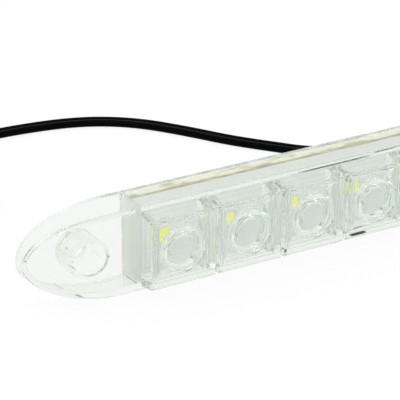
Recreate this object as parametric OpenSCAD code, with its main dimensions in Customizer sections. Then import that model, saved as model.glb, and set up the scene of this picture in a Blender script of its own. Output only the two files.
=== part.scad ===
// Clear strip daytime running light: a moulded housing with a row of square lens cells,
// a pointed screw tab at each end, a white lamp board and back cover, and a flat twin lead.
// X runs along the strip, -Y is the way the light shines, Z is the strip's width.

/* [Strip] */
// Number of lamp cells in the row
cell_count = 9; // [3:1:11]
// Distance from one cell to the next
cell_pitch = 17.4; // [16.8:0.1:22]
// Distance from the middle of the last cell to the end wall's outer face
end_margin = 8.9; // [8.7:0.1:14]
// Width of the strip at its back rim
strip_w = 21.8; // [21:0.1:30]
// Depth of the carrier from its back rim to its front wall
carrier_d = 8.8; // [7.8:0.1:12]
// Lean of the carrier's long walls, as a slope
wall_draft = 0.08; // [0.02:0.002:0.14]
// Radius of the carrier's long front edges
edge_r = 0.6; // [0.3:0.1:1.2]
// Wall thickness of the moulding
wall_t = 1.5; // [1:0.1:1.6]
// Thickness of the wall between the lamp chamber and a tab
end_wall_t = 1.2; // [0.8:0.1:1.8]

/* [Cells] */
// Side of a cell's square front
cell_front_w = 16.4; // [15:0.1:16.4]
// Height of a cell above the carrier's front wall
cell_h = 5; // [3:0.1:7]
// Step between the carrier's edge and the foot of a cell
cell_step = 1.1; // [0.1:0.1:1.2]
// Gap at the bottom of the notch between two cells
notch_gap = 0.9; // [0.2:0.1:0.9]
// Chamfer round a cell's front
cell_chamfer = 0.4; // [0.2:0.1:0.8]
// Thickness of a cell's front wall
cell_front_t = 1.4; // [1:0.1:2]
// Thickness of a cell's side walls
cell_wall_t = 1.6; // [1.2:0.1:1.7]
// Chamfer round the front of a cell's hollow
hollow_chamfer = 0.5; // [0.2:0.1:0.6]

/* [Lenses] */
// Diameter of a lens's front collar
lens_d = 10.8; // [9:0.1:11.2]
// Distance of the lens's front behind the cell's front
lens_recess = 0.3; // [0.1:0.1:0.6]
// Width of the lens's flange behind the front wall
lens_flange = 0.4; // [0.2:0.1:0.6]
// Thickness of the lens's flange
lens_flange_t = 0.6; // [0.4:0.1:1]
// Wall thickness of the lens's front collar
lens_collar_t = 0.9; // [0.5:0.1:1.2]
// Depth of the valley between the collar and the dome
lens_valley = 2; // [1.2:0.1:2.4]
// Diameter of the lens's middle dome
dome_d = 6.4; // [5:0.1:6.8]
// Height of the dome's straight side above the valley
dome_side = 0.7; // [0.3:0.1:1]
// Height of the dome's rounded top above its side
dome_h = 1.2; // [0.6:0.1:1.4]
// Depth of the lens's convex back behind its flange
lens_back_h = 3; // [1.5:0.1:4]

/* [Tabs] */
// Length of a tab from the chamber's end to its tip
tab_len = 26; // [24:0.1:34]
// Length of a tab's straight part before its sides curve in
tab_straight = 5; // [3:0.1:6]
// Thickness of a tab at its tip
tab_tip_t = 3.4; // [2.6:0.1:5]
// Power of the curve by which a tab gets thinner
tab_power = 1.7; // [1.2:0.1:2.4]
// Distance from the chamber's end to the screw's axis
screw_x = 11.5; // [8:0.1:12]
// Diameter of the well that takes the screw's head
well_d = 7.8; // [7:0.1:8.6]
// Wall thickness of the well
well_wall = 0.9; // [0.7:0.1:1.2]
// Thickness of the well's floor
well_floor = 1.5; // [1:0.1:2.5]
// Diameter of the screw hole
screw_hole_d = 4.4; // [3.2:0.1:5]

/* [Lamp board] */
// Thickness of the circuit board
board_t = 1; // [0.6:0.1:1.2]
// Distance from the back rim to the board's back face
board_back = 2.2; // [2.1:0.1:2.6]
// Size of a lamp's package along the strip
led_w = 2.8; // [2.4:0.1:3.4]
// Size of a lamp's package across the strip
led_l = 3.5; // [3:0.1:4]
// Height of a lamp above the board
led_h = 0.8; // [0.6:0.1:1.8]
// Width of the rim round a lamp's phosphor window
led_rim = 0.25; // [0.15:0.05:0.4]
// Depth of the phosphor below the package's rim
phosphor_drop = 0.15; // [0.1:0.05:0.3]
// Width of a lamp's solder terminals
terminal_w = 0.5; // [0.3:0.1:0.8]
// Length of a chip resistor
resistor_l = 3.2; // [2:0.1:4]
// Width of a chip resistor
resistor_w = 1.6; // [1.2:0.1:2.2]
// Height of a chip resistor
resistor_h = 0.6; // [0.4:0.05:0.8]
// Length of the polarity diode's case
diode_l = 2.7; // [2:0.1:3.6]
// Width of the polarity diode's case
diode_w = 1.6; // [1.2:0.1:2]
// Height of the polarity diode's case
diode_h = 1; // [0.6:0.1:1.1]
// Space between the grommet's flange and the polarity diode
diode_gap = 1.2; // [0.6:0.1:3]

/* [Back cover] */
// Thickness of the back cover's floor
cover_t = 1; // [0.8:0.1:1.1]
// Width of the cover's long lips, which carry the board
cover_lip = 1.2; // [0.8:0.1:1.6]

/* [Lead] */
// Width of the flat twin lead
lead_w = 4; // [3.6:0.1:4.4]
// Thickness of the flat twin lead
lead_t = 2; // [1.8:0.1:2.2]
// Diameter of the bare conductors
conductor_d = 0.9; // [0.6:0.1:1.1]
// Diameter of the grommet's outer end
grommet_end_d = 5.4; // [5:0.1:6]
// Diameter of the grommet at the cover
grommet_foot_d = 7.2; // [6.6:0.1:9]
// Diameter of the grommet's neck in the cover
grommet_neck_d = 5.6; // [5:0.1:6.4]
// Diameter of the grommet's flange inside the cover
grommet_flange_d = 7.4; // [6.8:0.1:9]

/* [Clearances] */
// Clearance between the back cover and the housing, on each side
cover_clear = 0.1; // [0.05:0.01:0.3]
// Clearance between a lens's collar and its hole
lens_clear = 0.1; // [0.05:0.01:0.2]
// Clearance between a lens's flange and the back of the cell's front wall
lens_seat = 0.06; // [0.03:0.01:0.2]
// Clearance between the grommet and its hole in the cover
grommet_clear = 0.1; // [0.05:0.01:0.2]
// Clearance round the conductors where they pass through the grommet
conductor_clear = 0.1; // [0.05:0.01:0.2]

/* [Hidden] */
body_l = (cell_count - 1) * cell_pitch + 2 * end_margin;
body_end = body_l / 2;
chamber_l = body_l - 2 * end_wall_t;
total_d = carrier_d + cell_h;
half_w = strip_w / 2;
back_y = total_d / 2;
mid_z = half_w;
tab_curve_l = tab_len - tab_straight;
screw_span = body_l + 2 * screw_x;
// Half width of the carrier where its front wall starts
front_half_w = half_w - wall_draft * carrier_d;
cell_foot_half_x = (cell_pitch - notch_gap) / 2;
cell_foot_half_z = front_half_w - cell_step;
cell_front_half = cell_front_w / 2;
cell_slope_x = (cell_foot_half_x - cell_front_half) / cell_h;
cell_slope_z = (cell_foot_half_z - cell_front_half) / cell_h;
cell_front_in = total_d - cell_front_t;
lens_r = lens_d / 2;
lens_front = total_d - lens_recess;
dome_r = dome_d / 2;
// Radius of the sphere that the lens's convex back is a cap of
lens_back_r = (lens_r * lens_r + lens_back_h * lens_back_h) / (2 * lens_back_h);
board_front = board_back + board_t;
well_r = well_d / 2;
boss_r = well_r + well_wall;
conductor_gap = lead_w / 2;
cut = 1;
// The lead's way from the grommet to its coil, over the ground behind the strip
lead_route = [
    [0, 13, 10.9], [0, 18, 10.9], [0, 24, 10], [0, 30, 8], [0, 36, 5], [-1, 42, 2.5],
    [-3, 47, 1.3], [-7, 52.5, 1.1], [-11, 57.5, 1.1], [-15, 63, 1.1], [-19, 69.5, 1.1],
    [-22.5, 75, 1.1], [-27.5, 82, 1.1], [-33, 87.5, 1.1], [-39, 91.5, 1.1], [-45, 94, 1.1],
    [-51, 95.5, 1.1], [-58, 96.5, 1.1], [-65, 97, 1.1], [-75, 97, 1.1], [-85, 97, 1.1],
    [-94, 97, 1.1]
];
// Where the lead leaves the grommet
lead_exit_y = lead_route[0][1];
// The lead's free end, from the coil to where its cores part
tail_route = [[-132, 58, 1.6], [-132, 53, 1.2], [-132, 48, 1.1], [-132, 42, 1.1]];
coil_center = [-108, 73];
coil_mid_r = 22;
coil_turns_across = 2;
coil_turns_high = 2;
tail_core_l = 12;
tail_tip_l = 6;
tail_core_gap = 0.15;

LENSES = [for (i = [1:cell_count]) str("lens_", i)];
LAMPS = [for (i = [1:cell_count]) str("led_", i)];

// Place of one cell's middle along the strip
function cell_x(i) = (i - (cell_count - 1) / 2) * cell_pitch;

// Half width at a distance past the end wall, for a moulding set in by one wall or none
function tab_half_w(s, inset) =
    let (t = max(0, min(1, (s - tab_straight) / (tab_curve_l - inset))))
    (half_w - inset) * sqrt(max(0, 1 - t * t));

// Depth from the back rim to the front at a distance past the end wall
function tab_depth(s) =
    let (t = max(0, (s - tab_straight + 1) / (tab_curve_l + 1)))
    carrier_d - (carrier_d - tab_tip_t) * pow(t, tab_power);

// One cross-section as [y, z] points: flat back, drafted sides and round front edges
function section(w, d, r, back) =
    let (
        side = function (q) w - wall_draft * min(q, w / wall_draft / 2),
        rr = min(r, 0.8 * side(d)),
        corner_z = side(d) - rr
    )
    concat(
        [[-back, -side(0)]],
        [for (k = [0:4]) let (a = k * 22.5) [d - rr + rr * sin(a), -corner_z - rr * cos(a)]],
        [for (k = [4:-1:0]) let (a = k * 22.5) [d - rr + rr * sin(a), corner_z + rr * cos(a)]],
        [[-back, side(0)]]
    );

// Distances past the end wall at which a tab's sections stand
function tab_stations(start, inset) = concat(
    [start],
    [for (k = [0:14]) tab_straight + (tab_curve_l - inset) * sin(k * 6.2)]
);

// Skin through sections along X: each entry is [x, section]
module loft(stations) {
    n = len(stations[0][1]);
    m = len(stations);
    points = [for (st = stations) for (p = st[1]) [st[0], back_y - p[0], mid_z + p[1]]];
    sides = [for (i = [0:m - 2]) for (j = [0:n - 1])
        let (a = i * n + j, b = i * n + (j + 1) % n)
        [b, b + n, a + n, a]];
    ends = [[for (j = [n - 1:-1:0]) j], [for (j = [0:n - 1]) (m - 1) * n + j]];
    polyhedron(points, concat(sides, ends), convexity = 6);
}

// Outer form of carrier and tabs, from tip to tip
module carrier_form() {
    s_list = tab_stations(0, 0);
    half = [for (s = s_list) [s, section(tab_half_w(s, 0), tab_depth(s), edge_r, 0)]];
    last = len(half) - 1;
    loft(concat(
        [for (k = [last:-1:0]) [-body_end - half[k][0], half[k][1]]],
        [for (k = [0:last]) [body_end + half[k][0], half[k][1]]]
    ));
}

// Hollow of the right-hand tab, round the screw's well
module tab_hollow() {
    difference() {
        loft([for (s = tab_stations(0, wall_t))
            [body_end + s,
             section(tab_half_w(s, wall_t), tab_depth(s) - wall_t, edge_r / 2, cut)]]);
        at_depth(screw_span / 2, -2 * cut) cylinder(r = boss_r, h = total_d + 4 * cut, $fn = 64);
    }
}

// Puts a shape that is built along +Z at a place on the back rim, growing forwards
module at_depth(x, d) {
    translate([x, back_y - d, mid_z]) rotate([90, 0, 0]) children();
}

// Four-sided form that narrows towards the front, as two crossed profiles
module tapered_box(foot_x, foot_z, top_x, top_z, d0, d1, chamfer) {
    function side(foot, top) = [
        [-foot, d0], [-top - (foot - top) * chamfer / (d1 - d0), d1 - chamfer], [-top + chamfer, d1],
        [top - chamfer, d1], [top + (foot - top) * chamfer / (d1 - d0), d1 - chamfer], [foot, d0]
    ];
    intersection() {
        linear_extrude(4 * foot_z, center = true)
            polygon([for (p = side(foot_x, top_x)) [p[0], -p[1]]]);
        rotate([90, 0, 90]) linear_extrude(4 * foot_x, center = true)
            polygon([for (p = side(foot_z, top_z)) [-p[1], p[0]]]);
    }
}

module cell_form() {
    sink = wall_t / 2;
    tapered_box(
        cell_foot_half_x + cell_slope_x * sink, cell_foot_half_z + cell_slope_z * sink,
        cell_front_half, cell_front_half, carrier_d - sink, total_d, cell_chamfer
    );
}

module cell_hollow() {
    sink = wall_t + cut;
    reach = cell_front_in - carrier_d;
    tapered_box(
        cell_foot_half_x - cell_wall_t + cell_slope_x * sink,
        cell_foot_half_z - cell_wall_t + cell_slope_z * sink,
        cell_foot_half_x - cell_wall_t - cell_slope_x * reach,
        cell_foot_half_z - cell_wall_t - cell_slope_z * reach,
        carrier_d - sink, cell_front_in, hollow_chamfer
    );
}

// Half width of the lamp chamber at a depth
function chamber_half(d) = half_w - wall_t - wall_draft * d;

module chamber_hollow() {
    top = carrier_d - wall_t;
    translate([0, back_y, mid_z]) rotate([90, 0, 90]) linear_extrude(chamber_l, center = true)
        polygon([
            [cut, -chamber_half(-cut)], [cut, chamber_half(-cut)],
            [-top, chamber_half(top)], [-top, -chamber_half(top)]
        ]);
}

module housing() {
    color([0.86, 0.93, 0.9, 0.45]) difference() {
        union() {
            carrier_form();
            for (i = [0:cell_count - 1]) translate([cell_x(i), back_y, mid_z]) cell_form();
        }
        chamber_hollow();
        for (i = [0:cell_count - 1]) {
            translate([cell_x(i), back_y, mid_z]) cell_hollow();
            at_depth(cell_x(i), cell_front_in - cut)
                cylinder(r = lens_r + lens_clear, h = cell_front_t + 2 * cut, $fn = 64);
        }
        tab_hollow();
        mirror([1, 0, 0]) tab_hollow();
        for (x = [-screw_span / 2, screw_span / 2]) {
            at_depth(x, -cut) cylinder(d = screw_hole_d, h = total_d, $fn = 48);
            at_depth(x, well_floor) cylinder(r = well_r, h = total_d, $fn = 64);
        }
    }
}

// Round clear lens: a collar at the front, a valley, a shouldered dome and a convex back
module lens(i) {
    seat_d = cell_front_in - lens_seat;
    back_d = seat_d - lens_flange_t;
    valley_d = lens_front - lens_valley;
    collar_in = lens_r - lens_collar_t;
    back_a = asin(lens_r / lens_back_r);
    shoulder = 0.75;
    color([0.9, 0.95, 0.95, 0.5]) at_depth(cell_x(i), 0) rotate_extrude($fn = 72)
        polygon(concat(
            [for (k = [0:8]) let (a = back_a * k / 8)
                [k == 0 ? 0 : lens_back_r * sin(a),
                 back_d - lens_back_h + lens_back_r - lens_back_r * cos(a)]],
            [[lens_r + lens_flange, back_d], [lens_r + lens_flange, seat_d], [lens_r, seat_d],
             [lens_r, lens_front - 0.2], [lens_r - 0.2, lens_front], [collar_in, lens_front],
             [collar_in - 0.3, valley_d], [dome_r + 0.1, valley_d]],
            [for (k = [0:8]) let (a = 90 * k / 8)
                [k == 8 ? 0 : dome_r * pow(cos(a), shoulder),
                 valley_d + dome_side + dome_h * pow(sin(a), shoulder)]]
        ));
}

// Flat lamp package with its phosphor window and a solder terminal at each end
module led(i) {
    color([0.93, 0.9, 0.45]) at_depth(cell_x(i), board_front) {
        difference() {
            linear_extrude(led_h) square([led_w, led_l], center = true);
            translate([0, 0, led_h - phosphor_drop]) linear_extrude(phosphor_drop + cut)
                square([led_w - 2 * led_rim, led_l - 2 * led_rim], center = true);
        }
        for (side = [-1, 1]) translate([0, side * (led_l / 2 + 0.1), led_h / 4])
            cube([led_w - terminal_w, terminal_w, led_h / 2], center = true);
    }
}

module circuit_board() {
    l = chamber_l - 2 * cover_clear - 0.4;
    w = chamber_half(board_front) - cover_clear;
    color([0.95, 0.95, 0.92]) at_depth(0, board_back) linear_extrude(board_t)
        square([l, 2 * w], center = true);
}

// Places of the chip resistors, one for each group of three lamps, on the board's back
resistor_groups = max(1, floor(cell_count / 3));
function resistor_x(k) = cell_x(0) + cell_pitch * (3 * k + 0.5);

module resistors() {
    color([0.12, 0.12, 0.13]) for (k = [0:resistor_groups - 1])
        at_depth(resistor_x(k), board_back - resistor_h) linear_extrude(resistor_h)
            square([resistor_l, resistor_w], center = true);
}

module polarity_diode() {
    x = grommet_flange_d / 2 + diode_l / 2 + diode_gap;
    color([0.15, 0.15, 0.15]) at_depth(x, board_back - diode_h) {
        translate([0, 0, diode_h / 2]) cube([diode_l, diode_w, diode_h], center = true);
        translate([0, 0, diode_h - 0.15]) cube([diode_l + 0.9, diode_w / 2, 0.3], center = true);
    }
}

// Shallow white channel that closes the chamber and carries the board on its lips
module back_cover() {
    l = chamber_l - 2 * cover_clear;
    function edge(d) = chamber_half(d) - cover_clear;
    lip_in = edge(0) - cover_lip;
    color([0.94, 0.93, 0.88]) difference() {
        translate([0, back_y, mid_z]) rotate([90, 0, 90]) linear_extrude(l, center = true)
            polygon([
                [0, -edge(0)], [0, edge(0)], [-board_back, edge(board_back)],
                [-board_back, lip_in], [-cover_t, lip_in],
                [-cover_t, -lip_in], [-board_back, -lip_in], [-board_back, -edge(board_back)]
            ]);
        at_depth(0, -cut) cylinder(r = grommet_neck_d / 2 + grommet_clear, h = cover_t + 2 * cut, $fn = 48);
    }
}

module grommet() {
    out = lead_exit_y - back_y;
    flange_top = cover_t + 0.7;
    color([0.1, 0.1, 0.11]) difference() {
        at_depth(0, 0) rotate_extrude($fn = 48) polygon([
            [0, -out], [grommet_end_d / 2 - 0.3, -out], [grommet_end_d / 2, -out + 0.4],
            [grommet_foot_d / 2, -1], [grommet_foot_d / 2, 0], [grommet_neck_d / 2, 0],
            [grommet_neck_d / 2, cover_t], [grommet_flange_d / 2, cover_t],
            [grommet_flange_d / 2, flange_top], [0, flange_top]
        ]);
        for (side = [-1, 1]) at_depth(side * conductor_gap / 2, -out - cut)
            cylinder(d = conductor_d + 2 * conductor_clear, h = out + flange_top + 2 * cut, $fn = 24);
    }
}

// Bare conductors from the lead through the grommet to the board's back
module lead_conductors() {
    out = lead_exit_y - back_y;
    color([0.8, 0.52, 0.3]) for (side = [-1, 1]) at_depth(side * conductor_gap / 2, -out)
        cylinder(d = conductor_d, h = out + board_back, $fn = 24);
}

// One ring of the flat lead: its point, with the width level and square to the way it runs
function lead_ring(route, i) =
    let (
        a = route[max(0, i - 1)],
        b = route[min(len(route) - 1, i + 1)],
        run = [b[0] - a[0], b[1] - a[1]],
        u = [run[1], -run[0], 0] / norm(run),
        t = (b - a) / norm(b - a),
        v = cross(u, t)
    )
    [for (p = [[1, 0.5], [0.7, 1], [-0.7, 1], [-1, 0.5], [-1, -0.5], [-0.7, -1], [0.7, -1], [1, -0.5]])
        route[i] + u * p[0] * lead_w / 2 + v * p[1] * lead_t / 2];

module lead_tube(route) {
    n = 8;
    m = len(route);
    points = [for (i = [0:m - 1]) for (p = lead_ring(route, i)) p];
    sides = [for (i = [0:m - 2]) for (j = [0:n - 1])
        let (a = i * n + j, b = i * n + (j + 1) % n)
        [b, b + n, a + n, a]];
    ends = [[for (j = [n - 1:-1:0]) j], [for (j = [0:n - 1]) (m - 1) * n + j]];
    polyhedron(points, concat(sides, ends), convexity = 6);
}

module supply_lead() {
    color([0.06, 0.06, 0.07]) lead_tube(lead_route);
}

module lead_coil() {
    across = coil_turns_across * lead_w;
    high = coil_turns_high * lead_t;
    color([0.06, 0.06, 0.07]) translate([coil_center[0], coil_center[1], 0.1])
        rotate_extrude($fn = 64) translate([coil_mid_r - across / 2, 0]) square([across, high]);
}

module lead_tail() {
    color([0.06, 0.06, 0.07]) lead_tube(tail_route);
}

// The lead's two cores, parted and stripped to bare tips
module lead_ends() {
    last = tail_route[len(tail_route) - 1];
    color([0.75, 0.72, 0.66]) for (side = [-1, 1])
        translate([last[0] + side * lead_w / 4, last[1] - tail_core_gap, last[2]])
            rotate([90, 0, side * 8]) {
                cylinder(d = lead_t * 0.8, h = tail_core_l, $fn = 24);
                cylinder(d = conductor_d, h = tail_core_l + tail_tip_l, $fn = 24);
            }
}

housing();
for (i = [0:cell_count - 1]) lens(i);
for (i = [0:cell_count - 1]) led(i);
circuit_board();
resistors();
polarity_diode();
back_cover();
grommet();
lead_conductors();
supply_lead();
lead_coil();
lead_tail();
lead_ends();
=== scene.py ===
from math import cos, pi, radians, sin

import bmesh
import bpy
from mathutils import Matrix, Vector


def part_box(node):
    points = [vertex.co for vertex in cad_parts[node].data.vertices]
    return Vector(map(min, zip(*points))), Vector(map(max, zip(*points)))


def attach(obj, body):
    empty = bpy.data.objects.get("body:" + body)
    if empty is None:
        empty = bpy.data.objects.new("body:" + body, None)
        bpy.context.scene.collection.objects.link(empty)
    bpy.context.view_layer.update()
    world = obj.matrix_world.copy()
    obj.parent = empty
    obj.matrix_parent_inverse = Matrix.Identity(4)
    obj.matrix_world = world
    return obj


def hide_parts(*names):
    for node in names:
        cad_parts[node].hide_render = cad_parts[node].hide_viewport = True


bl_info = {
    "name": "Clear strip daytime running light",
    "version": (1, 0, 0),
    "blender": (4, 5, 0),
    "location": "View3D > Sidebar > Running light",
    "description": "Dresses a clear strip light: housing, lenses, lamps, board, cover and lead",
    "category": "Object",
}

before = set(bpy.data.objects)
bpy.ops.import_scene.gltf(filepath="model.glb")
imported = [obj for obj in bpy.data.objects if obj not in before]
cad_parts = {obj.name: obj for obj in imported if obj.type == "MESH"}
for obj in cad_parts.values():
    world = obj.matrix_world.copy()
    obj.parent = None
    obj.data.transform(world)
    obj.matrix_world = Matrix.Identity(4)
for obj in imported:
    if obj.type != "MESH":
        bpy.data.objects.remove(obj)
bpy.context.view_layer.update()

BODY = "root"
MM = 0.001
PREFIX = "running_light"

# The camera of the photograph: where it stands and what it looks at, in metres
CAMERA_PLACE = Vector((-0.26589, -0.33419, 0.19406))
CAMERA_AIM = Vector((-0.05711, 0.00753, 0.01454))
CAMERA_ROLL = radians(0.49)
CAMERA_LENS = 172.8
CAMERA_SENSOR = 36.0

# The clear plastic, and what each of its faces takes from white light
CLEAR_IOR = 1.49
FACE_TINT = (0.955, 0.972, 0.945, 1)

# The soft light above the left shoulder, the floor, and how often light may be thrown about.
# Inside clear mouldings it is thrown about many times, and cut short it turns black.
KEY_PLACE = (-0.5, -0.3, 0.85)
KEY_SIZE = 0.24
FLOOR_REACH = 3.0
LIGHT_BOUNCES = 96
TRANSPARENT_BOUNCES = 32

# Where the tie goes round the coil, and its band
TIE_ANGLE = radians(320)
TIE_WIDTH = 2.5 * MM
TIE_THICKNESS = 0.1 * MM
TIE_STEPS = 24
LOCK_DEPTH = 2.2 * MM
LOCK_HEIGHT = 3 * MM
LOCK_EDGE = 0.35 * MM

STRAND_R = 0.45 * MM
FLAT_ANGLE = radians(0.5)
BLEND_ANGLE = radians(50)

CELL_COUNT = sum(name.startswith("lens_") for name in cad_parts)
HOUSING_LOW, HOUSING_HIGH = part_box("housing")
BACK_Y = HOUSING_HIGH[1]
MID_Z = (HOUSING_LOW[2] + HOUSING_HIGH[2]) / 2

# The lead's way over the ground, the same points as in the part's source, in metres
LEAD_ROUTE = [
    Vector(p) * MM
    for p in (
        (0, 13, 10.9), (0, 18, 10.9), (0, 24, 10), (0, 30, 8), (0, 36, 5), (-1, 42, 2.5),
        (-3, 47, 1.3), (-7, 52.5, 1.1), (-11, 57.5, 1.1), (-15, 63, 1.1), (-19, 69.5, 1.1),
        (-22.5, 75, 1.1), (-27.5, 82, 1.1), (-33, 87.5, 1.1), (-39, 91.5, 1.1), (-45, 94, 1.1),
        (-51, 95.5, 1.1), (-58, 96.5, 1.1), (-65, 97, 1.1), (-75, 97, 1.1), (-85, 97, 1.1),
        (-94, 97, 1.1),
    )
]
TAIL_ROUTE = [
    Vector(p) * MM for p in ((-132, 58, 1.6), (-132, 53, 1.2), (-132, 48, 1.1), (-132, 42, 1.1))
]
COIL_CENTER = Vector((-108, 73, 0)) * MM
COIL_OUTER_R = 24 * MM
COIL_INNER_R = 20 * MM
COIL_LOW_Z = 1.1 * MM
COIL_HIGH_Z = 3.1 * MM


def linear(colour_hex, alpha=1.0):
    """An sRGB hex colour as the linear values that shaders take."""
    values = [int(colour_hex[i:i + 2], 16) / 255 for i in (1, 3, 5)]
    return (
        *(v / 12.92 if v <= 0.04045 else ((v + 0.055) / 1.055) ** 2.4 for v in values),
        alpha,
    )


class LeadSettings(bpy.types.PropertyGroup):
    width: bpy.props.FloatProperty(
        name="Lead width", description="Width of the flat twin lead",
        default=4 * MM, unit="LENGTH")
    thickness: bpy.props.FloatProperty(
        name="Lead thickness", description="Thickness of the flat twin lead",
        default=2 * MM, unit="LENGTH")
    core_length: bpy.props.FloatProperty(
        name="Core length", description="Length of each parted core at the free end",
        default=12 * MM, unit="LENGTH")
    tip_length: bpy.props.FloatProperty(
        name="Tip length", description="Length of the bare tinned tip of each core",
        default=6 * MM, unit="LENGTH")
    colour: bpy.props.FloatVectorProperty(
        name="Jacket colour", description="Colour of the lead's PVC jacket",
        default=linear("#010203")[:3], size=3, subtype="COLOR")


class ClearSettings(bpy.types.PropertyGroup):
    housing_tint: bpy.props.FloatVectorProperty(
        name="Housing tint", description="Colour that thick clear plastic takes on",
        default=(0.42, 0.56, 0.44), size=3, subtype="COLOR")
    housing_density: bpy.props.FloatProperty(
        name="Housing density", description="How fast the tint builds up, per metre",
        default=14.0)
    edge_round: bpy.props.FloatProperty(
        name="Edge radius", description="Radius of the moulding's small edges",
        default=0.3 * MM, unit="LENGTH")
    lens_edge_round: bpy.props.FloatProperty(
        name="Lens edge radius", description="Radius of the lenses' small edges",
        default=0.12 * MM, unit="LENGTH")


class LampSettings(bpy.types.PropertyGroup):
    phosphor: bpy.props.FloatVectorProperty(
        name="Phosphor", description="Colour of the lamps' phosphor",
        default=linear("#F2F086")[:3], size=3, subtype="COLOR")
    package: bpy.props.FloatVectorProperty(
        name="Package", description="Colour of the lamps' moulded package",
        default=linear("#F1F1EA")[:3], size=3, subtype="COLOR")


class StageSettings(bpy.types.PropertyGroup):
    key_power: bpy.props.FloatProperty(
        name="Key light", description="Power of the soft light above the left shoulder",
        default=1.6)
    world_strength: bpy.props.FloatProperty(
        name="World", description="Strength of the even light all round", default=1.2)
    open_side: bpy.props.FloatProperty(
        name="Open side", description="How bright the tent's open side looks in the plastic",
        default=0.74)
    far_floor: bpy.props.FloatProperty(
        name="Far floor", description="How bright the floor's far parts look in the plastic",
        default=0.8)


def nodes_of(material):
    """The node tree of a material, emptied, with its output."""
    material.use_nodes = True
    tree = material.node_tree
    tree.nodes.clear()
    return tree, tree.nodes.new("ShaderNodeOutputMaterial")


def add(tree, kind, settings=None, **inputs):
    """Adds one node with its settings, and sets or links its inputs by name."""
    node = tree.nodes.new(kind)
    for key, value in (settings or {}).items():
        setattr(node, key, value)
    for key, value in inputs.items():
        socket = node.inputs[int(key[1:])] if key[0] == "_" else node.inputs[key.replace("_", " ")]
        if isinstance(value, bpy.types.NodeSocket):
            tree.links.new(value, socket)
        else:
            socket.default_value = value
    return node


def ramp(tree, factor, stops):
    """A colour ramp from factor, with stops as (position, colour)."""
    node = add(tree, "ShaderNodeValToRGB", Fac=factor)
    elements = node.color_ramp.elements
    while len(elements) < len(stops):
        elements.new(0.5)
    for element, (position, colour) in zip(elements, stops):
        element.position = position
        element.color = colour
    return node.outputs["Color"]


def noise(tree, size, detail=3.0, stretch=(1, 1, 1)):
    """Noise on Object coordinates, with its features about size metres across."""
    coords = add(tree, "ShaderNodeTexCoord")
    place = add(tree, "ShaderNodeMapping", Vector=coords.outputs["Object"])
    place.inputs["Scale"].default_value = stretch
    texture = add(
        tree, "ShaderNodeTexNoise", Vector=place.outputs["Vector"], Scale=1 / size, Detail=detail)
    return texture.outputs["Fac"]


def clear_plastic(name, roughness, ripple, tint, density):
    """Clear moulding that lets the lamps' light through to what lies behind it."""
    material = bpy.data.materials.new(name)
    tree, output = nodes_of(material)
    bump = add(
        tree, "ShaderNodeBump", Strength=ripple, Distance=0.1 * MM, Height=noise(tree, 1.6 * MM))
    glass = add(
        tree, "ShaderNodeBsdfPrincipled", Base_Color=FACE_TINT, IOR=CLEAR_IOR,
        Roughness=roughness, Transmission_Weight=1.0, Normal=bump.outputs["Normal"])
    through = add(tree, "ShaderNodeBsdfTransparent", Color=(0.98, 1, 0.99, 1))
    path = add(tree, "ShaderNodeLightPath")
    mixed = add(
        tree, "ShaderNodeMixShader", _0=path.outputs["Is Shadow Ray"], _1=glass.outputs["BSDF"],
        _2=through.outputs["BSDF"])
    tree.links.new(mixed.outputs["Shader"], output.inputs["Surface"])
    body = add(tree, "ShaderNodeVolumeAbsorption", Color=(*tint, 1), Density=density)
    tree.links.new(body.outputs["Volume"], output.inputs["Volume"])
    return material


def moulded_plastic(name, colour, roughness, grain, depth, shift=0.04, shine=0.5):
    """Opaque moulding: a faint grain in its surface and a slight unevenness of colour."""
    material = bpy.data.materials.new(name)
    tree, output = nodes_of(material)
    dark = [c * (1 - shift) for c in colour[:3]] + [1]
    light = [min(1, c * (1 + shift)) for c in colour[:3]] + [1]
    tone = ramp(tree, noise(tree, grain * 12), [(0.3, dark), (0.7, light)])
    bump = add(
        tree, "ShaderNodeBump", Strength=depth, Distance=0.05 * MM,
        Height=noise(tree, grain, detail=5.0))
    shell = add(
        tree, "ShaderNodeBsdfPrincipled", Base_Color=tone, Roughness=roughness,
        Specular_IOR_Level=shine, Normal=bump.outputs["Normal"])
    tree.links.new(shell.outputs["BSDF"], output.inputs["Surface"])
    return material


def potted_cover():
    """Cream ABS cover, darker yellow-brown near its rim: stains there, and painted shade of the gap
    along the board's edge.
    """
    material = bpy.data.materials.new("cream_abs_cover")
    tree, output = nodes_of(material)
    coords = add(tree, "ShaderNodeTexCoord")
    place = add(tree, "ShaderNodeSeparateXYZ", Vector=coords.outputs["Object"])
    lift = add(
        tree, "ShaderNodeMath", {"operation": "SUBTRACT"}, _0=place.outputs["Z"], _1=MID_Z)
    reach = add(tree, "ShaderNodeMath", {"operation": "ABSOLUTE"}, _0=lift.outputs["Value"])
    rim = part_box("back_cover")[1][2] - MID_Z
    near_rim = add(
        tree, "ShaderNodeMapRange", Value=reach.outputs["Value"], From_Min=rim - 1.6 * MM,
        From_Max=rim - 0.5 * MM)
    spots = ramp(
        tree, noise(tree, 7 * MM, detail=4.0, stretch=(1, 2.5, 1)),
        [(0.5, (0, 0, 0, 1)), (0.64, (1, 1, 1, 1))])
    amount = add(
        tree, "ShaderNodeMath", {"operation": "MULTIPLY"}, _0=near_rim.outputs["Result"],
        _1=spots)
    # Painted shade and stains: darker yellow-brown spots near the rim stand for glue stains and for
    # the shade of the gap along the board's edge.
    stains_and_gap_shade = ramp(
        tree, amount.outputs["Value"], [(0.0, linear("#E6E3D5")), (1.0, linear("#B9AF88"))])
    bump = add(
        tree, "ShaderNodeBump", Strength=0.15, Distance=0.05 * MM, Height=noise(tree, 0.6 * MM))
    shell = add(
        tree, "ShaderNodeBsdfPrincipled", Base_Color=stains_and_gap_shade, Roughness=0.45,
        Normal=bump.outputs["Normal"])
    tree.links.new(shell.outputs["BSDF"], output.inputs["Surface"])
    return material


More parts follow.
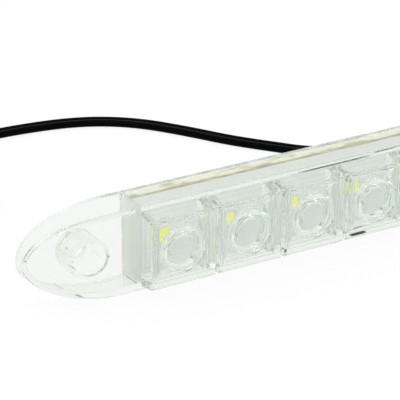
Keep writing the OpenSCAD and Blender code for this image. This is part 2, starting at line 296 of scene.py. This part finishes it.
def circuit_laminate():
    """White solder mask on the board's faces, and tan glass-fibre laminate along its cut edges."""
    material = bpy.data.materials.new("white_masked_laminate")
    tree, output = nodes_of(material)
    coords = add(tree, "ShaderNodeTexCoord")
    facing = add(tree, "ShaderNodeSeparateXYZ", Vector=coords.outputs["Normal"])
    flat = add(tree, "ShaderNodeMath", {"operation": "ABSOLUTE"}, _0=facing.outputs["Y"])
    laminate = ramp(
        tree, noise(tree, 3 * MM, detail=5.0), [(0.35, linear("#8F835A")), (0.65, linear("#CDC5A6"))])
    colour = add(
        tree, "ShaderNodeMix", {"data_type": "RGBA"}, _0=flat.outputs["Value"], _6=laminate,
        _7=linear("#FBFCFA"))
    tracks = noise(tree, 2.5 * MM, detail=0.0, stretch=(0.05, 1, 1))
    bump = add(tree, "ShaderNodeBump", Strength=0.2, Distance=0.04 * MM, Height=tracks)
    shell = add(
        tree, "ShaderNodeBsdfPrincipled", Base_Color=colour.outputs[2], Roughness=0.35,
        Normal=bump.outputs["Normal"])
    tree.links.new(shell.outputs["BSDF"], output.inputs["Surface"])
    return material


def phosphor_gel(colour):
    """Silicone gel full of phosphor powder: wet-looking, with a faint painted glow that lightens the
    unlit lamps.
    """
    material = bpy.data.materials.new("phosphor_gel")
    tree, output = nodes_of(material)
    deep = [c * 0.88 for c in colour] + [1]
    tone = ramp(tree, noise(tree, 0.5 * MM), [(0.35, deep), (0.65, (*colour, 1))])
    # The emission is painted light: a faint glow on the phosphor, though the lamps are not lit.
    gel = add(
        tree, "ShaderNodeBsdfPrincipled", Base_Color=tone, Roughness=0.5, Coat_Weight=0.5,
        Coat_Roughness=0.08, Emission_Color=tone, Emission_Strength=0.3)
    tree.links.new(gel.outputs["BSDF"], output.inputs["Surface"])
    return material


def drawn_metal(name, colour, roughness):
    """Bare drawn wire or tinned metal, with fine lines along it."""
    material = bpy.data.materials.new(name)
    tree, output = nodes_of(material)
    lines = noise(tree, 0.15 * MM, stretch=(6, 0.4, 6))
    bump = add(tree, "ShaderNodeBump", Strength=0.2, Distance=0.02 * MM, Height=lines)
    metal = add(
        tree, "ShaderNodeBsdfPrincipled", Base_Color=linear(colour), Metallic=1.0,
        Roughness=roughness, Normal=bump.outputs["Normal"])
    tree.links.new(metal.outputs["BSDF"], output.inputs["Surface"])
    return material


def pvc_jacket(colour):
    """Extruded black PVC: smooth with a soft sheen and faint waves from the die."""
    return moulded_plastic(
        "black_pvc_jacket", (*colour, 1), 0.35, 0.5 * MM, 0.12, shift=0.15, shine=0.03)


def show(obj, *slots):
    """Links a piece into the scene with its materials."""
    bpy.context.scene.collection.objects.link(obj)
    for material in slots:
        obj.data.materials.append(material)


def finish_piece(obj, slot_name=None, *replaced):
    """Lets a piece ride on the light's one body, and hides the CAD parts that it replaces."""
    if replaced:
        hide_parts(*replaced)
    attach(obj, BODY)


def merged_copy(node):
    """A bmesh of a CAD node with its loose triangles joined and flat faces made whole."""
    bm = bmesh.new()
    bm.from_mesh(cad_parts[node].data)
    bmesh.ops.remove_doubles(bm, verts=bm.verts, dist=0.002 * MM)
    bmesh.ops.dissolve_degenerate(bm, edges=bm.edges, dist=0.002 * MM)
    bmesh.ops.dissolve_limit(
        bm, angle_limit=radians(0.6), verts=bm.verts, edges=bm.edges, delimit={"NORMAL"})
    return bm


def flat_patches(bm):
    """For each face, the area of the flat patch of faces that it belongs to."""
    areas = {}
    for seed in bm.faces:
        if seed in areas:
            continue
        patch, waiting = {seed: True}, [seed]
        while waiting:
            for edge in waiting.pop().edges:
                if len(edge.link_faces) == 2 and edge.calc_face_angle(0) < FLAT_ANGLE:
                    for face in edge.link_faces:
                        if face not in patch:
                            patch[face] = True
                            waiting.append(face)
        total = sum(face.calc_area() for face in patch)
        areas.update((face, total) for face in patch)
    return areas


def corner_normals(bm, sharp):
    """Shading normals that keep flat faces flat and let small roundings blend between them."""
    areas = flat_patches(bm)
    limit = cos(sharp)
    normals = []
    for face in bm.faces:
        for loop in face.loops:
            total = Vector()
            for other in loop.vert.link_faces:
                if other.normal.dot(face.normal) > limit:
                    total += other.normal * areas[other]
            normals.append(total.normalized() if total.length > 0 else face.normal.copy())
    return normals


def rounded_mesh(node, radius, sharp=radians(28), segments=2):
    """A CAD node's mesh with its sharp edges rounded and its curved faces shaded smooth."""
    bm = merged_copy(node)
    edges = [
        e for e in bm.edges
        if len(e.link_faces) == 2 and e.calc_face_angle(0) > sharp
    ]
    bmesh.ops.bevel(
        bm, geom=edges, offset=radius, segments=segments, profile=0.5, affect="EDGES",
        clamp_overlap=True, loop_slide=False)
    bmesh.ops.triangulate(bm, faces=[f for f in bm.faces if len(f.verts) > 4])
    bm.normal_update()
    normals = corner_normals(bm, BLEND_ANGLE)
    mesh = bpy.data.meshes.new(node + "_rounded")
    for face in bm.faces:
        face.smooth = True
    bm.to_mesh(mesh)
    bm.free()
    mesh.normals_split_custom_set(normals)
    return mesh


class RUNNING_LIGHT_OT_camera(bpy.types.Operator):
    """Set the camera at the photograph's place"""

    bl_idname = PREFIX + ".camera"
    bl_label = "Camera"

    def execute(self, context):
        data = bpy.data.cameras.new("camera")
        data.lens = CAMERA_LENS
        data.sensor_width = CAMERA_SENSOR
        data.sensor_fit = "HORIZONTAL"
        camera = bpy.data.objects.new("camera", data)
        aim = (CAMERA_AIM - CAMERA_PLACE).to_track_quat("-Z", "Y")
        camera.rotation_euler = aim.to_euler()
        camera.rotation_euler.rotate_axis("Z", CAMERA_ROLL)
        camera.location = CAMERA_PLACE
        context.scene.collection.objects.link(camera)
        context.scene.camera = camera
        return {"FINISHED"}


def smooth_through(points, steps):
    """Points along a curve through the given ones, steps to each stretch."""
    ends = [points[0] * 2 - points[1], *points, points[-1] * 2 - points[-2]]
    out = []
    for a, b, c, d in zip(ends, ends[1:], ends[2:], ends[3:]):
        for k in range(steps):
            t = k / steps
            out.append(0.5 * (
                b * 2 + (c - a) * t + (a * 2 - b * 5 + c * 4 - d) * t * t
                + (b * 3 - a - c * 3 + d) * t ** 3))
    return out + [points[-1]]


def eased(value, start, end):
    """0 before start, 1 after end, and a smooth step between."""
    t = max(0.0, min(1.0, (value - start) / (end - start)))
    return t * t * (3 - 2 * t)


def coil_points(step=radians(6)):
    """The coiled stretch: one outer turn, an inner one, a second layer, and out again."""
    start, turns = radians(90), 3.25
    count = round(turns * 2 * pi / step)
    points = []
    for k in range(count + 1):
        turned = k * step
        inwards = eased(turned, radians(290), radians(345))
        outwards = eased(turned, radians(1010), radians(1070))
        radius = COIL_OUTER_R + (COIL_INNER_R - COIL_OUTER_R) * (inwards - outwards)
        lifted = eased(turned, radians(630), radians(700))
        height = COIL_LOW_Z + (COIL_HIGH_Z - COIL_LOW_Z) * lifted
        angle = start + turned
        points.append(COIL_CENTER + Vector((radius * cos(angle), radius * sin(angle), height)))
    return points


def lead_line():
    """The lead's whole centreline, from the grommet to where its cores part."""
    coil = coil_points()
    arrive = LEAD_ROUTE + [COIL_CENTER + Vector((6 * MM, COIL_OUTER_R, COIL_LOW_Z))]
    leave = [coil[-1], COIL_CENTER + Vector((-COIL_OUTER_R, -7 * MM, 2.6 * MM)), *TAIL_ROUTE]
    return smooth_through(arrive, 4) + coil + smooth_through(leave, 4)[1:]


def twin_section(width, thickness, points_each=12):
    """The lead's outline: two round cores side by side with a web between them."""
    r = thickness / 2
    reach = width / 2 - r
    half_web = radians(28)
    outline = []
    for side in (1, -1):
        middle = 0 if side == 1 else pi
        for k in range(points_each + 1):
            a = middle - (pi - half_web) + 2 * (pi - half_web) * k / points_each
            outline.append((side * reach + r * cos(a), r * sin(a)))
    return outline


def sweep(points, outline):
    """A tube mesh along points, with the outline's width kept level."""
    bm = bmesh.new()
    rings = []
    for i, point in enumerate(points):
        run = (points[min(i + 1, len(points) - 1)] - points[max(i - 1, 0)]).normalized()
        across = Vector((run.y, -run.x, 0)).normalized()
        up = across.cross(run).normalized()
        if up.z < 0:
            up = -up
        rings.append([bm.verts.new(point + across * u + up * v) for u, v in outline])
    count = len(outline)
    for one, two in zip(rings, rings[1:]):
        for j in range(count):
            bm.faces.new((one[j], one[(j + 1) % count], two[(j + 1) % count], two[j]))
    bm.faces.new(rings[0])
    bm.faces.new(rings[-1])
    bmesh.ops.recalc_face_normals(bm, faces=bm.faces)
    mesh = bpy.data.meshes.new("tube")
    for face in bm.faces:
        face.smooth = len(face.verts) == 4
    bm.to_mesh(mesh)
    bm.free()
    return mesh


def circle(radius, count=16):
    """A round outline."""
    return [
        (radius * cos(2 * pi * k / count), radius * sin(2 * pi * k / count))
        for k in range(count)
    ]


def core_line(side, settings):
    """One parted core's centreline, from the end of the lead to its tip."""
    end = TAIL_ROUTE[-1]
    spread = radians(8) * side
    start = end + Vector((side * settings.width / 4, -0.15 * MM, 0))
    way = Vector((sin(spread), -cos(spread), 0))
    return start, way


class RUNNING_LIGHT_OT_lead(bpy.types.Operator):
    """Lay the flat twin lead, its coil and its two stripped cores"""

    bl_idname = PREFIX + ".lead"
    bl_label = "Lead"

    def execute(self, context):
        settings = context.scene.running_light_lead
        line = lead_line()
        jacket = pvc_jacket(settings.colour)
        tube = bpy.data.objects.new(
            "twin_lead", sweep(line, twin_section(settings.width, settings.thickness)))
        show(tube, jacket)
        finish_piece(tube, "lead_jacket", "supply_lead", "lead_coil", "lead_tail")
        tips = self.ends(settings, jacket)
        outwards = Vector((cos(TIE_ANGLE), sin(TIE_ANGLE), 0))
        middle = COIL_CENTER + outwards * (COIL_OUTER_R + COIL_INNER_R) / 2
        tie = bpy.data.objects.new("coil_tie", band_around(
            middle + Vector((0, 0, (COIL_LOW_Z + COIL_HIGH_Z) / 2)), outwards,
            (COIL_OUTER_R - COIL_INNER_R) / 2 + settings.width / 2,
            (COIL_HIGH_Z - COIL_LOW_Z) / 2 + settings.thickness / 2, TIE_THICKNESS, TIE_WIDTH))
        show(tie, moulded_plastic(
            "black_nylon_tie", linear("#121315"), 0.45, 0.4 * MM, 0.1))
        finish_piece(tie)
        return {"FINISHED"}

    def ends(self, settings, jacket):
        bm = bmesh.new()
        for side in (-1, 1):
            start, way = core_line(side, settings)
            stops = [start, start + way * settings.core_length]
            bared = stops[1] + way * settings.tip_length
            for points, radius, slot in (
                (stops, settings.thickness * 0.4, 0), ([stops[1], bared], STRAND_R, 1)):
                part = sweep(points, circle(radius))
                before = len(bm.faces)
                bm.from_mesh(part)
                bm.faces.ensure_lookup_table()
                for face in bm.faces[before:]:
                    face.material_index = slot
        mesh = bpy.data.meshes.new("stripped_cores")
        bm.to_mesh(mesh)
        bm.free()
        cores = bpy.data.objects.new("stripped_cores", mesh)
        show(cores, jacket, drawn_metal("tinned_strand", "#C9C5BC", 0.3))
        finish_piece(cores, "tinned_core", "lead_ends")
        return cores


def band_around(middle, outwards, half_wide, half_high, thick, width):
    """A flat band looped round a bundle that lies level, with the band's lock on its outer side."""
    along = Vector((-outwards.y, outwards.x, 0))
    up = Vector((0, 0, 1))
    bm = bmesh.new()
    rings = []
    bend = 0.55
    for k in range(TIE_STEPS):
        a = 2 * pi * k / TIE_STEPS
        u = abs(cos(a)) ** bend * (1 if cos(a) >= 0 else -1)
        v = abs(sin(a)) ** bend * (1 if sin(a) >= 0 else -1)
        ring = []
        for grow, side in ((0, -1), (thick, -1), (thick, 1), (0, 1)):
            ring.append(bm.verts.new(
                middle + outwards * u * (half_wide + grow) + up * v * (half_high + grow)
                + along * side * width / 2))
        rings.append(ring)
    for one, two in zip(rings, rings[1:] + rings[:1]):
        for j in range(4):
            bm.faces.new((one[j], one[(j + 1) % 4], two[(j + 1) % 4], two[j]))
    lock = bmesh.ops.create_cube(bm, size=1.0)["verts"]
    for vert in lock:
        place = vert.co.copy()
        vert.co = (
            middle + outwards * (half_wide + thick + place.x * LOCK_DEPTH)
            + along * place.y * width * 1.5 + up * place.z * LOCK_HEIGHT)
    bmesh.ops.bevel(
        bm, geom=list(dict.fromkeys(e for v in lock for e in v.link_edges)),
        offset=LOCK_EDGE, segments=2,
        profile=0.5, affect="EDGES", clamp_overlap=True)
    bmesh.ops.recalc_face_normals(bm, faces=bm.faces)
    mesh = bpy.data.meshes.new("coil_tie")
    bm.to_mesh(mesh)
    bm.free()
    return mesh


class RUNNING_LIGHT_OT_housing(bpy.types.Operator):
    """Dress the clear moulded housing with its cells and tabs"""

    bl_idname = PREFIX + ".housing"
    bl_label = "Housing"

    def execute(self, context):
        settings = context.scene.running_light_clear
        plastic = clear_plastic(
            "clear_polycarbonate_housing", 0.05, 0.06, settings.housing_tint,
            settings.housing_density)
        sealant = moulded_plastic(
            "white_silicone_sealant", linear("#FAFBF7"), 0.5, 1.2 * MM, 0.3)
        mesh = rounded_mesh("housing", settings.edge_round)
        wall_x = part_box("back_cover")[1][0]
        for face in mesh.polygons:
            past = abs(face.center.x) - wall_x
            if abs(face.normal.x) > 0.9 and abs(face.center.y - BACK_Y) < 9 * MM:
                if -0.3 * MM < past < 0.5 * MM:
                    face.material_index = 1
        shell = bpy.data.objects.new("clear_housing", mesh)
        show(shell, plastic, sealant)
        finish_piece(shell, "clear_housing", "housing")
        return {"FINISHED"}


class RUNNING_LIGHT_OT_lenses(bpy.types.Operator):
    """Dress the round clear lenses"""

    bl_idname = PREFIX + ".lenses"
    bl_label = "Lenses"

    def execute(self, context):
        settings = context.scene.running_light_clear
        acrylic = clear_plastic(
            "polished_acrylic_lens", 0.01, 0.02, linear("#DDEAE6")[:3], 30.0)
        for i in range(1, CELL_COUNT + 1):
            node = f"lens_{i}"
            lens = bpy.data.objects.new(
                f"dome_lens_{i}", rounded_mesh(node, settings.lens_edge_round))
            show(lens, acrylic)
            finish_piece(lens, "clear_lens", node)
        return {"FINISHED"}


class RUNNING_LIGHT_OT_lamps(bpy.types.Operator):
    """Dress the lamps with package, terminals and phosphor"""

    bl_idname = PREFIX + ".lamps"
    bl_label = "Lamps"

    def execute(self, context):
        settings = context.scene.running_light_lamps
        package = moulded_plastic(
            "white_lamp_package", (*settings.package, 1), 0.4, 0.3 * MM, 0.1)
        gel = phosphor_gel(settings.phosphor)
        tin = drawn_metal("tinned_terminal", "#C6C4BE", 0.35)
        for i in range(1, CELL_COUNT + 1):
            node = f"led_{i}"
            low, high = (Vector(c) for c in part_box(node))
            middle = (low + high) / 2
            bm = merged_copy(node)
            half = Vector((high.x - low.x, 0, high.z - low.z)) / 2
            for face in bm.faces:
                centre = face.calc_center_median()
                if face.normal.y < -0.9 and abs(centre.z - middle.z) < 0.2 * MM:
                    if abs(centre.x - middle.x) < 0.2 * MM:
                        face.material_index = 1
                elif abs(centre.z - middle.z) > half.z - 0.36 * MM:
                    face.material_index = 2
            mesh = bpy.data.meshes.new(node + "_dressed")
            bm.to_mesh(mesh)
            bm.free()
            lamp = bpy.data.objects.new(f"lamp_{i}", mesh)
            show(lamp, package, gel, tin)
            finish_piece(lamp, "led_package", node)
        return {"FINISHED"}


def solder_tree():
    """Two rows of solder fillets, one at each end of every lamp."""
    tree = bpy.data.node_groups.new("solder_fillets", "GeometryNodeTree")
    for name, kind in (
        ("Count", "Int"), ("Pitch", "Float"), ("Start", "Vector"), ("Row gap", "Float"),
        ("Fillet size", "Vector"), ("Unevenness", "Float"), ("Seed", "Int"),
        ("Material", "Material")):
        tree.interface.new_socket(name=name, in_out="INPUT", socket_type="NodeSocket" + kind)
    tree.interface.new_socket(
        name="Geometry", in_out="OUTPUT", socket_type="NodeSocketGeometry")
    given = tree.nodes.new("NodeGroupInput").outputs
    step = add(tree, "ShaderNodeCombineXYZ", X=given["Pitch"]).outputs["Vector"]
    half_gap = add(
        tree, "ShaderNodeMath", {"operation": "MULTIPLY"}, _0=given["Row gap"], _1=0.5)
    rows = tree.nodes.new("GeometryNodeJoinGeometry")
    for side in (-1, 1):
        shift = add(
            tree, "ShaderNodeMath", {"operation": "MULTIPLY"}, _0=half_gap.outputs["Value"],
            _1=float(side))
        start = add(
            tree, "ShaderNodeVectorMath", {"operation": "ADD"}, _0=given["Start"],
            _1=add(tree, "ShaderNodeCombineXYZ", Z=shift.outputs["Value"]).outputs["Vector"])
        row = add(
            tree, "GeometryNodeMeshLine", {"mode": "OFFSET"}, Count=given["Count"],
            Start_Location=start.outputs["Vector"], Offset=step)
        tree.links.new(row.outputs["Mesh"], rows.inputs["Geometry"])
    blob = add(tree, "GeometryNodeMeshIcoSphere", Radius=0.5, Subdivisions=3)
    low = add(
        tree, "ShaderNodeMath", {"operation": "SUBTRACT"}, _0=1.0, _1=given["Unevenness"])
    vary = add(
        tree, "FunctionNodeRandomValue", {"data_type": "FLOAT"}, Min=low.outputs["Value"],
        Max=1.0, Seed=given["Seed"])
    scale = add(
        tree, "ShaderNodeVectorMath", {"operation": "SCALE"}, _0=given["Fillet size"],
        Scale=vary.outputs[1])
    placed = add(
        tree, "GeometryNodeInstanceOnPoints", Points=rows.outputs["Geometry"],
        Instance=blob.outputs["Mesh"], Scale=scale.outputs["Vector"])
    whole = add(tree, "GeometryNodeRealizeInstances", Geometry=placed.outputs["Instances"])
    painted = add(
        tree, "GeometryNodeSetMaterial", Geometry=whole.outputs["Geometry"],
        Material=given["Material"])
    tree.links.new(painted.outputs["Geometry"], tree.nodes.new("NodeGroupOutput").inputs[0])
    return tree


def grown_mesh(name, tree, **values):
    """The mesh that a Geometry Nodes tree makes from these inputs."""
    carrier = bpy.data.objects.new(name + "_carrier", bpy.data.meshes.new(name + "_carrier"))
    bpy.context.scene.collection.objects.link(carrier)
    modifier = carrier.modifiers.new(name, "NODES")
    modifier.node_group = tree
    sockets = {item.name: item.identifier for item in tree.interface.items_tree}
    for key, value in values.items():
        modifier[sockets[key.replace("_", " ")]] = value
    depsgraph = bpy.context.evaluated_depsgraph_get()
    mesh = bpy.data.meshes.new_from_object(carrier.evaluated_get(depsgraph))
    bpy.data.objects.remove(carrier)
    return mesh


class RUNNING_LIGHT_OT_solder(bpy.types.Operator):
    """Put a solder fillet at both ends of every lamp"""

    bl_idname = PREFIX + ".solder"
    bl_label = "Solder"

    def execute(self, context):
        low, high = (Vector(c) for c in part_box("led_1"))
        pitch = (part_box(f"led_{CELL_COUNT}")[0][0] - low.x) / (CELL_COUNT - 1)
        size = Vector((0.8 * (high.x - low.x), 0.5 * MM, 0.7 * MM))
        mesh = grown_mesh(
            "solder_fillets", solder_tree(), Count=CELL_COUNT, Pitch=pitch,
            Start=((low.x + high.x) / 2, high.y, (low.z + high.z) / 2),
            Row_gap=high.z - low.z + 0.2 * MM, Fillet_size=size, Unevenness=0.15, Seed=5,
            Material=drawn_metal("tin_solder", "#D6D5CF", 0.3))
        if len(mesh.vertices) == 0:
            raise RuntimeError("the solder tree made nothing")
        fillets = bpy.data.objects.new("solder_fillets", mesh)
        show(fillets)
        finish_piece(fillets)
        return {"FINISHED"}


class RUNNING_LIGHT_OT_inside(bpy.types.Operator):
    """Finish the board, its small parts, the back cover and the grommet"""

    bl_idname = PREFIX + ".inside"
    bl_label = "Board and cover"

    def execute(self, context):
        finishes = {
            "circuit_board": circuit_laminate(),
            "resistors": moulded_plastic(
                "glazed_resistor", linear("#1B1B1E"), 0.25, 0.3 * MM, 0.05),
            "polarity_diode": moulded_plastic(
                "epoxy_diode_case", linear("#202021"), 0.5, 0.2 * MM, 0.2),
            "back_cover": potted_cover(),
            "grommet": moulded_plastic(
                "black_rubber_grommet", linear("#17181A"), 0.6, 0.3 * MM, 0.3),
            "lead_conductors": drawn_metal("bare_copper_wire", "#D08A5E", 0.3),
        }
        for node, material in finishes.items():
            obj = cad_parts[node]
            obj.data.materials.clear()
            obj.data.materials.append(material)
        return {"FINISHED"}


def any_of(tree, path, *kinds):
    """1 for rays of any of these kinds, otherwise 0."""
    total = path.outputs[kinds[0]]
    for kind in kinds[1:]:
        total = add(
            tree, "ShaderNodeMath", {"operation": "MAXIMUM"}, _0=total,
            _1=path.outputs[kind]).outputs["Value"]
    return total


def floor_surface(far_level):
    """Pale floor that keeps a soft shadow, shows as white, and greys off far out in plastic."""
    material = bpy.data.materials.new("pale_floor")
    tree, output = nodes_of(material)
    matt = add(tree, "ShaderNodeBsdfDiffuse", Color=(0.8, 0.8, 0.8, 1))
    path = add(tree, "ShaderNodeLightPath")
    coords = add(tree, "ShaderNodeTexCoord")
    reach = add(
        tree, "ShaderNodeVectorMath", {"operation": "LENGTH"}, _0=coords.outputs["Object"])
    level = add(
        tree, "ShaderNodeMapRange", Value=reach.outputs["Value"], From_Min=0.16, From_Max=0.9,
        To_Min=0.95, To_Max=far_level)
    in_plastic = any_of(tree, path, "Is Glossy Ray", "Is Transmission Ray")
    tone = add(
        tree, "ShaderNodeMix", {"data_type": "FLOAT"}, _0=in_plastic, _2=1.0,
        _3=level.outputs["Result"])
    seen = any_of(tree, path, "Is Camera Ray", "Is Glossy Ray", "Is Transmission Ray")
    shine = add(
        tree, "ShaderNodeEmission", Color=(1, 1, 1, 1), Strength=tone.outputs[0])
    soft = add(
        tree, "ShaderNodeMixShader", _0=0.12, _1=shine.outputs["Emission"],
        _2=matt.outputs["BSDF"])
    both = add(
        tree, "ShaderNodeMixShader", _0=seen, _1=matt.outputs["BSDF"], _2=soft.outputs["Shader"])
    tree.links.new(both.outputs["Shader"], output.inputs["Surface"])
    return material


def soft_light(name, place, aim, size, power):
    data = bpy.data.lights.new(name, "AREA")
    data.shape = "DISK"
    data.size = size
    data.energy = power
    lamp = bpy.data.objects.new(name, data)
    lamp.location = place
    lamp.rotation_euler = (Vector(aim) - Vector(place)).to_track_quat("-Z", "Y").to_euler()
    bpy.context.scene.collection.objects.link(lamp)


class RUNNING_LIGHT_OT_stage(bpy.types.Operator):
    """Set the pale floor, the world and the soft studio light"""

    bl_idname = PREFIX + ".stage"
    bl_label = "Stage"

    def execute(self, context):
        settings = context.scene.running_light_stage
        mesh = bpy.data.meshes.new("floor")
        reach = FLOOR_REACH
        mesh.from_pydata(
            [(-reach, -reach, 0), (reach, -reach, 0), (reach, reach, 0), (-reach, reach, 0)],
            [], [(0, 1, 2, 3)])
        floor = bpy.data.objects.new("floor", mesh)
        floor.location.z = -0.02 * MM
        show(floor, floor_surface(settings.far_floor))
        soft_light("key", KEY_PLACE, (0, 0, 0.01), KEY_SIZE, settings.key_power)
        self.world(context, settings)
        context.scene.view_settings.view_transform = "Standard"
        cycles = context.scene.cycles
        cycles.max_bounces = LIGHT_BOUNCES
        cycles.transmission_bounces = LIGHT_BOUNCES
        cycles.glossy_bounces = LIGHT_BOUNCES
        cycles.transparent_max_bounces = TRANSPARENT_BOUNCES
        return {"FINISHED"}

    def world(self, context, settings):
        """A white tent, open on the side that the light shines to."""
        world = bpy.data.worlds.new("studio")
        world.use_nodes = True
        tree = world.node_tree
        tree.nodes.clear()
        output = tree.nodes.new("ShaderNodeOutputWorld")
        coords = add(tree, "ShaderNodeTexCoord")
        lean = add(
            tree, "ShaderNodeVectorMath", {"operation": "DOT_PRODUCT"},
            _0=coords.outputs["Generated"], _1=(0.48, 0.78, 0.9))
        low = settings.open_side
        tone = ramp(
            tree, add(
                tree, "ShaderNodeMapRange", Value=lean.outputs["Value"], From_Min=-0.8,
                From_Max=0.4).outputs["Result"],
            [(0.0, (low, low * 1.06, low * 1.1, 1)), (0.25, (low * 1.5, low * 1.6, low * 1.7, 1)),
             (0.62, (0.86, 0.88, 0.9, 1)), (1.0, (1, 1, 1, 1))])
        seen = add(tree, "ShaderNodeBackground", Color=tone, Strength=1.0)
        light = add(
            tree, "ShaderNodeBackground", Color=(1, 1, 1, 1), Strength=settings.world_strength)
        sight = add(tree, "ShaderNodeBackground", Color=(1, 1, 1, 1), Strength=1.0)
        path = add(tree, "ShaderNodeLightPath")
        inner = add(
            tree, "ShaderNodeMixShader", _0=any_of(
                tree, path, "Is Glossy Ray", "Is Transmission Ray"),
            _1=light.outputs["Background"], _2=seen.outputs["Background"])
        outer = add(
            tree, "ShaderNodeMixShader", _0=path.outputs["Is Camera Ray"],
            _1=inner.outputs["Shader"], _2=sight.outputs["Background"])
        tree.links.new(outer.outputs["Shader"], output.inputs["Surface"])
        context.scene.world = world


OPERATORS = (
    RUNNING_LIGHT_OT_camera,
    RUNNING_LIGHT_OT_lead,
    RUNNING_LIGHT_OT_housing,
    RUNNING_LIGHT_OT_lenses,
    RUNNING_LIGHT_OT_lamps,
    RUNNING_LIGHT_OT_solder,
    RUNNING_LIGHT_OT_inside,
    RUNNING_LIGHT_OT_stage,
)


class RUNNING_LIGHT_PT_panel(bpy.types.Panel):
    """Sizes, colours and steps of the running light"""

    bl_label = "Running light"
    bl_space_type = "VIEW_3D"
    bl_region_type = "UI"
    bl_category = "Running light"

    def draw(self, context):
        for group in SETTINGS:
            settings = getattr(context.scene, group)
            for name in settings.__annotations__:
                self.layout.prop(settings, name)
        for operator in OPERATORS:
            self.layout.operator(operator.bl_idname)


SETTINGS = {
    "running_light_lead": LeadSettings,
    "running_light_clear": ClearSettings,
    "running_light_lamps": LampSettings,
    "running_light_stage": StageSettings,
}


def register():
    for group, kind in SETTINGS.items():
        bpy.utils.register_class(kind)
        setattr(bpy.types.Scene, group, bpy.props.PointerProperty(type=kind))
    for kind in (*OPERATORS, RUNNING_LIGHT_PT_panel):
        bpy.utils.register_class(kind)


def unregister():
    for kind in reversed((*OPERATORS, RUNNING_LIGHT_PT_panel)):
        bpy.utils.unregister_class(kind)
    for group, kind in SETTINGS.items():
        delattr(bpy.types.Scene, group)
        bpy.utils.unregister_class(kind)


def main():
    register()
    for operator in OPERATORS:
        group, step = operator.bl_idname.split(".")
        getattr(getattr(bpy.ops, group), step)()


if __name__ == "__main__":
    main()
